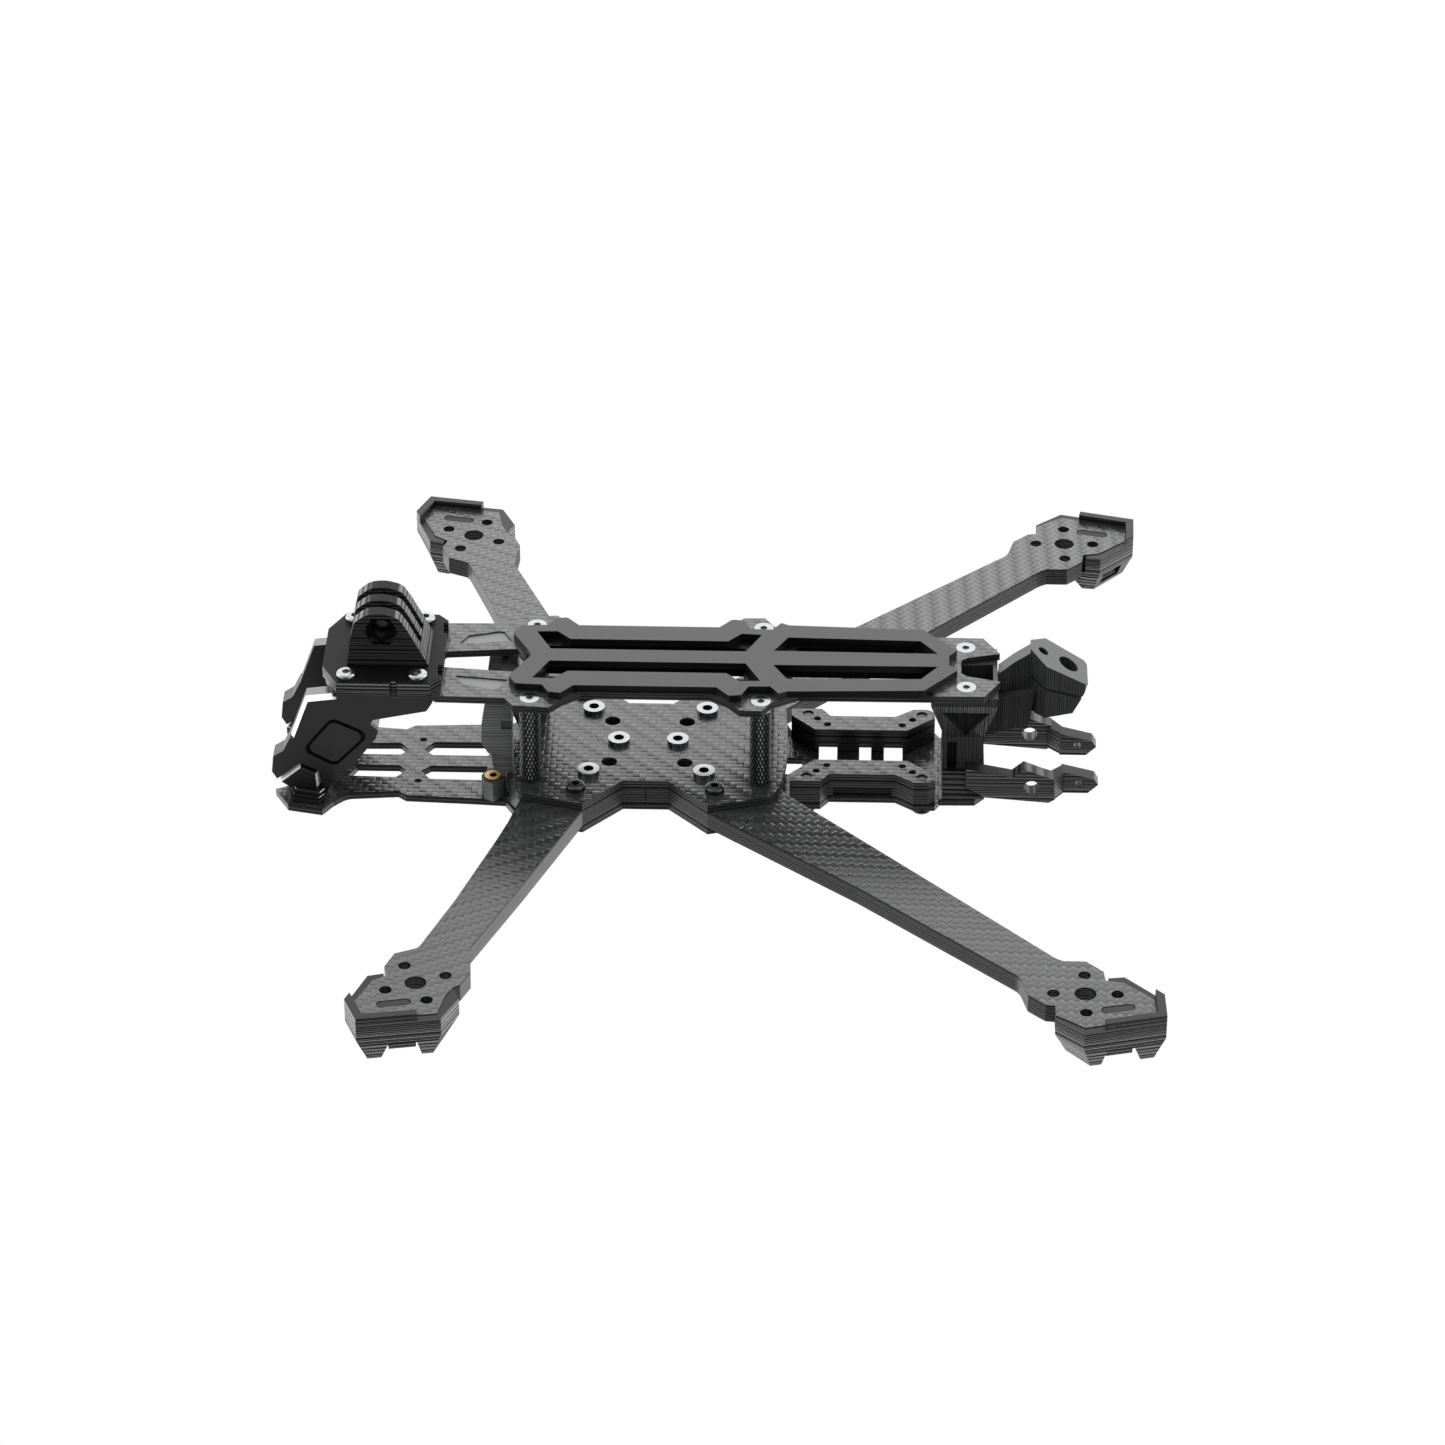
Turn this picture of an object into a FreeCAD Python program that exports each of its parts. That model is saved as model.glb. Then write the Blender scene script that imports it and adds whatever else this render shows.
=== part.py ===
"""Six inch long range quadcopter airframe, modelled as the separate pieces that are bolted together.

Frame: millimetres, +Z up, nose towards -Y, +X to the pilot's left side of the aircraft.
Origin: centre of the flight stack pattern, on the top face of the middle plate.
"""
import FreeCAD, Part
import math
import os

V = FreeCAD.Vector

# ---- heights of the stacked layers -------------------------------------------------------
BOTTOM_T = 2.0                      # bottom plate
ARM_T = 5.0                         # arms, clamped between the bottom and the middle plate
MID_T = 2.0                         # middle plate, its top face is z = 0
STANDOFF_H = 23.0                   # clear height of the stack bay
TOP_T = 2.0                         # top plate
PAD_T = 2.0                         # battery pad
Z_MID = -MID_T                      # underside of the middle plate, top of the arms
Z_ARM = Z_MID - ARM_T               # underside of the arms, top of the bottom plate
Z_BOTTOM = Z_ARM - BOTTOM_T         # underside of the bottom plate
Z_TOP = STANDOFF_H + TOP_T          # top face of the top plate

# ---- hole patterns -----------------------------------------------------------------------
STACK_BIG = 30.5 / 2                # half pitch of the large stack pattern
STACK_MID = 25.5 / 2                # half pitch of the middle stack pattern
STACK_SMALL = 20.0 / 2              # half pitch of the small stack pattern
GROMMET_R = 2.1                     # clearance holes of the small stack pattern
M3_CLEAR_R = 1.6
M3_R = 1.5
M2_CLEAR_R = 1.1
FRONT_STANDOFF = (18.15, 30.25)     # the four main standoffs stand at (+-x, +-y)
TAIL_SCREW = (9.75, 84.0)           # the two screws into the tail mount
CLAMP_SCREW = (23.0, 18.3)          # arm clamp screws at (+-x, +-y)
CENTRE_NUT_Y = 7.85                 # two more press nuts on the centre line
NUT_R = 2.9
NUT_BORE_R = 1.35
NUT_H = 1.3

# ---- motors ------------------------------------------------------------------------------
MOTOR_X = 109.2                     # half track
FRONT_MOTOR_Y = -54.0
REAR_MOTOR_Y = 113.4
FRONT_TIP_TURN = 24.4               # degrees that the front arm tips are turned
MOTOR_PCD = 16.0
MOTOR_BORE_R = 2.75
SLOT_LENGTH = 8.7
SLOT_WIDTH = 2.7
SLOT_MIDDLE = (6.0, 8.0)            # of the arm slot, in the tip's own frame
SLOT_TURN = -13.0                   # degrees

# ---- rear video bay ----------------------------------------------------------------------
BAY_Y = 57.6                        # centre of the rear hole patterns
BAY_WINDOWS = ((45.4, 50.3), (56.2, 59.4), (62.8, 67.8))

# ---- nose and camera mount ---------------------------------------------------------------
NOSE_X = 16.0                       # outer face of the nose side plates
NOSE_T = 5.5
NOSE_BEVEL = (0.9, 1.8)             # width on the outer face and depth of its front bevels
CAMERA_SCREW_X = 14.1
CAMERA_SCREW_Y = (-78.5, -59.7)
CAMERA_BASE_T = 3.2
CAMERA_SKIRT = 0.9                  # how far the mount's rim reaches down over the top plate
FINGER_Y = -69.5
FINGER_Z = 38.5
FINGER_BORE_R = 2.55
NUT_TRAP = 1.7                      # depth of the six sided nut trap
NUT_TRAP_R = 4.62
FINGER_X = 8.5                      # outer face of the outer fingers
FINGER_GAPS = ((1.7, 4.8), (-4.8, -1.7))
FINGER_ROOT = 32.6                  # height where the gaps between the fingers start

# ---- tail --------------------------------------------------------------------------------
FORK_TOP = -1.0                     # where the stem stands on the fork
ANTENNA_HOLES = ((104.1, 30.2, 1.5, 8.0), (110.8, 26.3, 2.9, 18.0))    # y, z, radius, depth
ANTENNA_AXIS = V(0, 0.5, 0.866)     # square to the sloping top of the antenna block
PRONG_X = (11.0, 15.0)
PRONG_TIP_X = (7.2, 11.2)
PRONG_BORE = (101.8, -2.8, 2.0)     # y, z, radius
PRONG_TIP_BORE = (114.5, -3.9, 1.1)
INSERT_PLACE = (15.8, -40.5)        # brass inserts of the front brackets


# ---- tools -------------------------------------------------------------------------------
def corner_arc(before, corner, after, radius):
    """Start, middle and end of the tangent arc that rounds one corner."""
    a = (before - corner).normalize()
    b = (after - corner).normalize()
    half = a.getAngle(b) / 2
    reach = radius / math.tan(half)
    centre = corner + (a + b).normalize() * (radius / math.sin(half))
    middle = centre + (corner - centre).normalize() * radius
    return corner + a * reach, middle, corner + b * reach


def closed_wire(corners, place):
    """Closed wire through corners (p, q) or (p, q, radius); place turns (p, q) into a point."""
    points = [place(c[0], c[1]) for c in corners]
    radii = [c[2] if len(c) > 2 else 0 for c in corners]
    count = len(points)
    edges = []
    ends = []
    for i in range(count):
        if radii[i]:
            start, middle, end = corner_arc(points[i - 1], points[i],
                                            points[(i + 1) % count], radii[i])
            edges.append(Part.Arc(start, middle, end).toShape())
            ends.append((start, end))
        else:
            edges.append(None)
            ends.append((points[i], points[i]))
    run = []
    for i in range(count):
        if edges[i]:
            run.append(edges[i])
        start, end = ends[i][1], ends[(i + 1) % count][0]
        if (end - start).Length > 1e-6:
            run.append(Part.LineSegment(start, end).toShape())
    return Part.Wire(run)


def slab(corners, z0, z1):
    """Flat piece with its outline in XY."""
    face = Part.Face(closed_wire(corners, lambda x, y: V(x, y, z0)))
    return face.extrude(V(0, 0, z1 - z0))


def panel(corners, x0, x1):
    """Upright piece with its outline in YZ."""
    face = Part.Face(closed_wire(corners, lambda y, z: V(x0, y, z)))
    return face.extrude(V(x1 - x0, 0, 0))


def frustum(lower, z0, upper, z1):
    """Solid between two outlines with the same number of corners."""
    wires = [closed_wire(c, lambda x, y, z=z: V(x, y, z)) for c, z in ((lower, z0), (upper, z1))]
    return Part.makeLoft(wires, True, True)


def block(x0, x1, y0, y1, z0, z1):
    return Part.makeBox(x1 - x0, y1 - y0, z1 - z0, V(x0, y0, z0))


def post(x, y, z0, z1, r):
    return Part.makeCylinder(r, z1 - z0, V(x, y, z0))


def bar(y, z, x0, x1, r):
    """Round bar along X."""
    return Part.makeCylinder(r, x1 - x0, V(x0, y, z), V(1, 0, 0))


def hexagon(x, y, z0, z1, across):
    """Six sided socket, given its size across the flats."""
    r = across / math.sqrt(3)
    turns = [math.radians(60 * k) for k in range(6)]
    return slab([(x + r * math.cos(t), y + r * math.sin(t)) for t in turns], z0, z1)


def mirror_x(shape):
    return shape.mirror(V(0, 0, 0), V(1, 0, 0))


def both_sides(half):
    """Symmetric outline from its +X half, which runs from tail to nose or nose to tail."""
    other = [(-c[0],) + tuple(c[1:]) for c in reversed(half) if c[0] != 0]
    return list(half) + other


def four(x, y):
    return [(sx * x, sy * y) for sx in (1, -1) for sy in (1, -1)]


def two(x, y):
    return [(x, y), (-x, y)]


def cut_posts(shape, places, z0, z1, r):
    return shape.cut([post(x, y, z0, z1, r) for x, y in places])


def save(name, *solids):
    """Write one node; several solids become one group."""
    clean = [s.removeSplitter() for s in solids]
    shape = clean[0] if len(clean) == 1 else Part.makeCompound(clean)
    shape.exportStep("parts/" + name + ".step")


# ---- screws and standoffs ----------------------------------------------------------------
def pan_screw(x, y, z, length, head_r=2.55, head_h=1.6):
    """Domed screw pointing down, with the underside of its head at z."""
    head = post(x, y, z, z + head_h, head_r)
    head = head.makeFillet(0.8, [e for e in head.Edges if e.BoundBox.ZMin > z + head_h - 0.01])
    head = head.cut(hexagon(x, y, z + head_h - 0.9, z + head_h, 2.0))
    return head.fuse(post(x, y, z - length, z, M3_R))


def flat_screw(x, y, z, length):
    """Countersunk screw pointing down, its head flush with z."""
    head = Part.makeCone(M3_R, 2.6, 1.1, V(x, y, z - 1.1))
    body = head.fuse(post(x, y, z - length, z - 1.1, M3_R))
    return body.cut(hexagon(x, y, z - 0.8, z, 1.8))


def countersink(x, y, z):
    return Part.makeCone(M3_CLEAR_R, 2.75, 1.15, V(x, y, z - 1.15))


def under_screw(x, y, length):
    """Button head screw from below, its head against the bottom plate."""
    screw = pan_screw(0, 0, 0, length, 2.6, 1.4)
    screw.rotate(V(0, 0, 0), V(1, 0, 0), 180)
    screw.translate(V(x, y, Z_BOTTOM))
    return screw


def standoff(x, y):
    return post(x, y, 0, STANDOFF_H, 2.9).cut(post(x, y, 0, STANDOFF_H, M3_R))


# ---- plates ------------------------------------------------------------------------------
HUB = [(30.4, 16.6), (19.0, 6.0), (19.0, -6.0), (30.4, -16.2)]      # waist between the arms
STANDOFF_LOBE = [(25.7, -33.4, 3.0), (21.0, -35.6)]


def middle_plate():
    half = [(0, 37.0), (7.5, 37.0), (12.0, 36.6), (17.5, 35.8), (21.0, 35.2), (25.7, 33.3, 3.0)]
    half += HUB + STANDOFF_LOBE + [(15.0, -37.0), (6.0, -34.0), (0, -34.0)]
    plate = slab(both_sides(half), Z_MID, 0)
    plate = cut_posts(plate, four(STACK_BIG, STACK_BIG), Z_MID, 0, 2.0)
    plate = cut_posts(plate, [(0, CENTRE_NUT_Y), (0, -CENTRE_NUT_Y)], Z_MID, 0, 2.0)
    plate = cut_posts(plate, four(STACK_SMALL, STACK_SMALL), Z_MID, 0, GROMMET_R)
    plate = cut_posts(plate, four(*CLAMP_SCREW) + four(*FRONT_STANDOFF), Z_MID, 0, M3_CLEAR_R)
    return plate


def nose_windows():
    """Lightening windows of the bottom plate's nose, in front of and behind its cross."""
    front = [(2.6, -77.5), (8.0, -80.0), (8.4, -67.0, 1.0), (5.0, -64.5), (2.6, -66.5)]
    rear = [(2.6, -58.0), (5.2, -60.5), (9.0, -58.0, 1.0), (9.2, -43.0), (2.6, -43.0)]
    cuts = [slab(w, Z_BOTTOM, Z_ARM) for w in (front, rear)]
    return cuts + [mirror_x(c) for c in cuts]


def bottom_plate():
    half = [(0, 89.5), (11.5, 89.5), (14.8, 86.8), (15.0, 77.7), (17.6, 76.3), (17.8, 70.6),
            (14.1, 65.8), (14.1, 48.4), (17.6, 46.0), (17.6, 37.8), (21.0, 36.5),
            (25.7, 33.3, 3.0)]
    half += HUB + [(25.7, -33.4, 3.0), (18.6, -37.3), (17.9, -46.6), (17.0, -63.7), (15.1, -65.9),
                   (16.5, -79.4, 4.0), (20.1, -82.7), (24.3, -85.3), (22.2, -94.5), (15.1, -98.4),
                   (10.0, -89.0), (0, -89.0)]
    plate = slab(both_sides(half), Z_BOTTOM, Z_ARM)
    windows = [block(-12.6, 12.6, y0, y1, Z_BOTTOM, Z_ARM) for y0, y1 in BAY_WINDOWS]
    cable_hole = slab([(-4, 36), (4, 36), (4, 41), (-4, 41)], Z_BOTTOM, Z_ARM)
    plate = plate.cut(nose_windows() + windows + [cable_hole])
    through = four(*CLAMP_SCREW) + four(*FRONT_STANDOFF) + bay_holes(STACK_BIG) + two(*TAIL_SCREW)
    plate = cut_posts(plate, through, Z_BOTTOM, Z_ARM, M3_CLEAR_R)
    plate = cut_posts(plate, two(10.05, -61.0), Z_BOTTOM, Z_ARM, 1.0)
    return cut_posts(plate, four(STACK_BIG, STACK_BIG), Z_BOTTOM, Z_ARM, M3_CLEAR_R)


def bay_holes(half_pitch):
    return [(x, BAY_Y + y) for x, y in four(half_pitch, half_pitch)]


INLAY = [(7.9, -50.3), (12.0, -48.3), (14.4, -40.3), (14.2, -38.8), (9.6, -36.4)]
INLAY_DEPTH = 0.95                  # pocket
INLAY_DROP = 0.45                   # from the plate's face down to the inlay


def top_plate():
    half = [(0, 82.7), (3.2, 82.7, 0.8), (4.6, 84.4), (6.9, 93.0), (14.4, 88.7), (14.6, 75.0),
            (14.8, 40.0), (18.9, 33.0), (23.0, 30.5), (22.8, 24.8), (19.0, 21.8), (15.3, 17.0),
            (15.3, -17.0), (19.0, -21.8), (22.8, -25.0), (22.1, -34.5), (18.5, -36.8),
            (18.1, -55.0), (NOSE_X, -57.0), (NOSE_X, -82.0), (9.0, -84.5), (0, -84.5)]
    plate = slab(both_sides(half), STANDOFF_H, Z_TOP)
    middle = [(0, -55.9), (3.9, -53.4), (5.7, -34.9), (0, -31.5)]
    side = [(3.2, -26.5), (7.6, -26.5), (7.6, 25.5), (3.2, 25.5)]
    tail = [(3.2, 36.0), (8.6, 39.5), (8.6, 70.0), (3.2, 73.5)]
    cuts = [slab(both_sides(middle), STANDOFF_H, Z_TOP)]
    for window in (side, tail):
        cut = slab(window, STANDOFF_H, Z_TOP)
        cuts += [cut, mirror_x(cut)]
    pocket = slab(INLAY, Z_TOP - INLAY_DEPTH, Z_TOP)
    plate = plate.cut(cuts + [pocket, mirror_x(pocket)])
    screws = four(*FRONT_STANDOFF) + two(*TAIL_SCREW)
    plate = plate.cut([countersink(x, y, Z_TOP) for x, y in screws])
    plate = cut_posts(plate, screws, STANDOFF_H, Z_TOP, M3_CLEAR_R)
    camera = [p for y in CAMERA_SCREW_Y for p in two(CAMERA_SCREW_X, y)]
    return cut_posts(plate, camera, STANDOFF_H, Z_TOP, 1.3)


def top_inlay():
    return slab(INLAY, Z_TOP - INLAY_DEPTH, Z_TOP - INLAY_DROP)


def battery_pad():
    half = [(0, -30.6), (10.8, -36.2, 1.0), (14.4, -34.2, 1.0), (14.8, -27.2), (18.2, -25.4, 1.2),
            (18.8, -22.2, 1.2), (14.9, -18.9), (14.9, 18.5), (18.9, 21.8, 1.2), (18.5, 25.1, 1.2),
            (14.3, 26.9), (14.1, 32.6), (17.5, 34.9), (16.4, 37.0), (15.1, 72.8), (4.9, 81.6),
            (2.2, 79.5), (0, 79.5)]
    pad = slab(both_sides(half), Z_TOP, Z_TOP + PAD_T)
    front = [(3.0, -25.8), (11.5, -29.9), (11.7, -24.4), (7.9, -20.8), (7.9, 21.0), (11.8, 24.5),
             (11.4, 29.9), (3.0, 25.9)]
    rear = [(3.5, 33.2), (10.3, 36.9), (9.4, 72.0), (3.2, 76.5)]
    cuts = [slab(w, Z_TOP, Z_TOP + PAD_T) for w in (front, rear)]
    return pad.cut(cuts + [mirror_x(c) for c in cuts])


# ---- arms and arm guards -----------------------------------------------------------------
# The tip is drawn once, for the rear left arm, with the motor axis at its origin.
TIP_FRONT_EDGE = [(0.9, -14.3), (5.0, -10.0)]
REAR_TIP_STEP = [(5.3, -7.7), (9.3, -7.6)]
FRONT_TIP_STEP = [(5.7, -7.6), (8.2, -4.8)]
TIP_END = [(14.4, -0.4), (13.1, 4.4), (9.5, 17.6), (1.9, 17.1)]
TIP_REAR_EDGE = [(-5.0, 9.7), (-5.9, 5.2), (-9.7, 4.8), (-14.0, 0.5), (-14.0, -5.2)]
GUARD_OUTLINE = [(10.4, -7.7), (16.6, -0.6), (11.2, 19.9), (2.1, 19.6), (-7.7, 10.0), (-7.1, 5.9)]
GUARD_INNER = [(-2.0, 7.4), (7.2, -1.8)]
GUARD_FOOT = [(8.6, -4.8), (15.0, 1.1), (11.0, 17.1), (3.4, 17.0), (-6.0, 8.6), (-5.9, 7.6)]
SOLE_INNER = [(-5.4, 0.2), (-3.0, 3.6), (-0.6, 6.0), (7.2, -1.8)]
FOOT_INNER = [(-5.6, 5.3), (-3.4, 5.6), (-0.6, 6.6), (7.2, -1.8)]
FOOT_POCKET = [(-6.9, 12.3), (-4.4, 9.8), (1.0, 15.1), (-1.5, 17.6)]
FOOT_POCKET_Z = (-11.8, -8.2)
LIP = [(15.12, 4.9), (11.2, 19.9), (2.1, 19.6), (-0.1, 17.4), (9.6, 17.7), (13.2, 4.5)]
GUARD_TOP = Z_MID - 0.2
LIP_TOP = -0.2
SOLE_BOTTOM = -9.0
RIB_BOTTOM = -11.4                  # rib between the two feet
FOOT_BOTTOM = -13.2


def front_tip(x, y):
    """Tip frame to the front left arm: mirrored, turned, and moved to its motor."""
    t = math.radians(FRONT_TIP_TURN)
    return (MOTOR_X + x * math.cos(t) + y * math.sin(t),
            FRONT_MOTOR_Y + x * math.sin(t) - y * math.cos(t))


def rear_tip(x, y):
    return MOTOR_X + x, REAR_MOTOR_Y + y


def tip_step(tip):
    return REAR_TIP_STEP if tip is rear_tip else FRONT_TIP_STEP


def moved(points, tip):
    return [tip(p[0], p[1]) + tuple(p[2:]) for p in points]


def tip_slot(tip, grow, z0, z1):
    """The slot in an arm tip, or with a negative grow the peg that fills it."""
    t = math.radians(SLOT_TURN)
    half = (SLOT_LENGTH - SLOT_WIDTH) / 2
    ends = [tip(SLOT_MIDDLE[0] + s * half * math.sin(t), SLOT_MIDDLE[1] + s * half * math.cos(t))
            for s in (1, -1)]
    r = SLOT_WIDTH / 2 + grow
    a, b = [V(x, y, z0) for x, y in ends]
    side = (b - a).cross(V(0, 0, 1)).normalize() * r
    box = Part.Face(Part.makePolygon([a + side, b + side, b - side, a - side, a + side]))
    return box.extrude(V(0, 0, z1 - z0)).fuse([post(x, y, z0, z1, r) for x, y in ends])


def motor_holes(tip):
    r = MOTOR_PCD / 2
    return [tip(*p) for p in ((r, 0), (0, r), (-r, 0), (0, -r))]


def arm(root, tip, sweep):
    outline = root + moved(TIP_FRONT_EDGE + tip_step(tip) + TIP_END + TIP_REAR_EDGE, tip) + sweep
    body = slab(outline, Z_ARM, Z_MID)
    body = body.cut(tip_slot(tip, 0, Z_ARM, Z_MID))
    body = cut_posts(body, motor_holes(tip), Z_ARM, Z_MID, M3_CLEAR_R)
    body = cut_posts(body, [tip(0, 0)], Z_ARM, Z_MID, MOTOR_BORE_R)
    side = 1 if tip is rear_tip else -1
    body = cut_posts(body, [(STACK_BIG, side * STACK_BIG)], Z_ARM, Z_MID, 2.0)
    screws = [(CLAMP_SCREW[0], side * CLAMP_SCREW[1]),
              (FRONT_STANDOFF[0], side * FRONT_STANDOFF[1])]
    return cut_posts(body, screws, Z_ARM, Z_MID, M3_CLEAR_R)


def rear_left_arm():
    root = [(0.1, 30.0), (0.1, 0.1), (19.0, 0.1), (19.0, 6.0), (30.4, 16.6), (64.0, 56.2),
            (102.5, 97.2, 6.0)]
    return arm(root, rear_tip, [(94.2, 106.4, 8.0), (61.1, 75.0), (25.7, 41.3), (20.5, 36.5)])


def front_left_arm():
    root = [(0.1, -30.0), (0.1, -0.1), (19.0, -0.1), (19.0, -6.0), (30.4, -16.2), (65.2, -29.8),
            (93.5, -41.4)]
    sweep = [(93.7, -54.3, 3.0), (72.6, -46.6), (45.0, -37.8), (36.5, -35.3, 8.0), (25.7, -32.8),
             (20.5, -35.8)]
    return arm(root, front_tip, sweep)


def guard(tip):
    """Printed guard: a wall round the arm's end, a sole under it, two feet and a raised lip."""
    hook = [] if tip is rear_tip else [(6.3, -7.75)]
    belt = slab(moved(hook + GUARD_OUTLINE + GUARD_INNER, tip), Z_ARM, GUARD_TOP)
    lip = slab(moved(LIP, tip), GUARD_TOP, LIP_TOP)
    wide = GUARD_OUTLINE + SOLE_INNER
    narrow = GUARD_FOOT + FOOT_INNER
    wires = [(moved(narrow, tip), FOOT_BOTTOM), (moved(wide, tip), Z_ARM)]
    sole = frustum(wires[0][0], wires[0][1], wires[1][0], wires[1][1])
    arm_space = moved([(5.3, -12.0)] + tip_step(tip) + TIP_END
                      + [(-5.0, 9.7), (-5.9, 5.2), (-12.0, 5.2)], tip)
    body = belt.cut(slab(arm_space, Z_ARM, Z_MID + 1)).fuse([sole, lip])
    body = body.cut([channel(tip), slab(moved(FOOT_POCKET, tip), *FOOT_POCKET_Z)])
    body = body.fuse(channel_rib(tip))
    body = body.fuse(tip_slot(tip, -0.25, Z_ARM, Z_MID - 0.1))
    body = cut_posts(body, motor_holes(tip), FOOT_BOTTOM, Z_ARM, M3_CLEAR_R)
    return body


def channel(tip):
    """Dovetail groove between the two feet, square to the guard's long wall."""
    section = [(4.1, FOOT_BOTTOM), (5.2, SOLE_BOTTOM), (12.2, SOLE_BOTTOM), (13.9, FOOT_BOTTOM)]
    return across_tip(tip, section, 2.0, 20.0)


def channel_rib(tip):
    root = SOLE_BOTTOM + 0.5
    section = [(5.4, RIB_BOTTOM), (5.2, root), (12.2, root), (12.0, RIB_BOTTOM)]
    return across_tip(tip, section, 8.0, 12.4)


def across_tip(tip, section, x0, x1):
    """Bar with a (y, z) section at the guard's long wall, run square to that wall."""
    lean = 0.25
    ends = []
    for x in (x0, x1):
        at = [V(*tip(x - lean * (y - 8.7), y + lean * (x - 14.0)), z) for y, z in section]
        ends.append(Part.makePolygon(at + [at[0]]))
    return Part.makeLoft(ends, True, True)


# ---- rear bay rails ----------------------------------------------------------------------
def rear_rail():
    outline = [(14.3, 37.9), (17.6, 37.9), (17.6, 46.0), (14.1, 48.4), (14.1, 65.8), (17.8, 70.6),
               (17.8, 74.5), (16.6, 76.4), (13.9, 76.4), (7.4, 69.0), (7.4, 44.3)]
    rail = slab(outline, Z_ARM, 0)
    tunnels = [block(0, 12.6, y0, y1, Z_ARM, -3.5) for y0, y1 in BAY_WINDOWS]
    recess = block(13.2, 20, 49.4, 64.9, Z_ARM, -4.5)
    rail = rail.cut(tunnels + [recess])
    rail = cut_posts(rail, bay_holes(STACK_BIG), Z_ARM, 0, M3_R)
    return cut_posts(rail, bay_holes(STACK_MID) + bay_holes(STACK_SMALL), Z_ARM, 0, 1.0)


# ---- nose --------------------------------------------------------------------------------
NOSE_PROFILE = [(-89.4, 22.0), (-81.8, 23.0), (-55.9, 23.0), (-55.9, 21.6), (-57.6, 18.8),
                (-71.8, 15.8), (-72.5, 14.6), (-70.5, 12.6), (-71.1, 10.2), (-78.3, 0.3, 3.0),
                (-82.2, -1.2), (-84.6, -7.0), (-85.9, -7.0), (-86.2, -0.6), (-91.6, 2.0),
                (-97.8, -3.1), (-99.1, -0.8), (-98.6, 3.9), (-95.9, 5.7), (-93.6, 10.4)]
BADGE = [(-82.7, 16.4, 2.2), (-72.4, 11.4, 2.2), (-82.2, 1.0, 2.2), (-91.0, 6.0, 2.2)]


def scaled(corners, centre, factor):
    return [(centre[0] + (c[0] - centre[0]) * factor, centre[1] + (c[1] - centre[1]) * factor,
             c[2] * factor) for c in corners]


def edge_bevel(start, end, wide, deep):
    """Cutter for a flat bevel on the outer face of the nose, along one edge (y, z) to (y, z).

    The inside of the outline lies to the right of start to end, seen from +X with +Y to the right.
    """
    a, b = V(NOSE_X, *start), V(NOSE_X, *end)
    along = (b - a).normalize()
    inward = V(1, 0, 0).cross(along) * -wide
    out = V(0.5, 0, 0)
    a, b = a - along * 0.6, b + along * 0.6
    corners = [a - inward + out, a + inward * 1.25 + out, a - V(deep, 0, 0), a - inward - V(deep, 0, 0)]
    face = Part.Face(Part.makePolygon(corners + [corners[0]]))
    return face.extrude(b - a)


def nose_plate():
    plate = panel(NOSE_PROFILE, NOSE_X - NOSE_T, NOSE_X)
    front = NOSE_PROFILE[-1:] + NOSE_PROFILE[:2]
    plate = plate.cut([edge_bevel(front[i], front[i + 1], *NOSE_BEVEL) for i in range(2)])
    groove = panel(BADGE, NOSE_X - 0.8, NOSE_X)
    groove = groove.cut(panel(scaled(BADGE, (-82.0, 8.7), 0.84), NOSE_X - 0.8, NOSE_X))
    return cut_posts(plate.cut(groove), [(CAMERA_SCREW_X, y) for y in CAMERA_SCREW_Y], 12, 23, 1.25)


def nose_foot():
    """Wedge that fills the notch of the nose plate, on a stepped printed base."""
    outline = [(-97.4, -3.5), (-91.6, 1.5), (-86.8, -0.9), (-86.4, -6.0), (-94.0, -6.0)]
    wedge = panel(outline, NOSE_X - NOSE_T, NOSE_X)
    wedge = wedge.cut([edge_bevel(outline[i], outline[i + 1], *NOSE_BEVEL) for i in range(3)])
    steps = []
    for k in range(3):
        out = NOSE_X + 6.6 - 2.0 * k
        top = Z_ARM + 0.6 * (k + 1)
        steps.append(slab([(NOSE_X - NOSE_T, -95.5), (out - 1.6, -93.6 + 0.4 * k), (out, -86.4),
                           (out - 2.0, -84.9 - 0.2 * k), (NOSE_X + 0.05, -84.9 - 0.2 * k),
                           (NOSE_X + 0.05, -86.3), (NOSE_X - NOSE_T, -86.3)],
                          Z_ARM, min(top, -5.4)))
    steps.append(slab([(NOSE_X - NOSE_T, -94.4), (NOSE_X, -94.2), (NOSE_X, -86.8),
                       (NOSE_X - NOSE_T, -86.8)], Z_ARM, -5.8))
    return wedge.fuse(steps)


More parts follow.
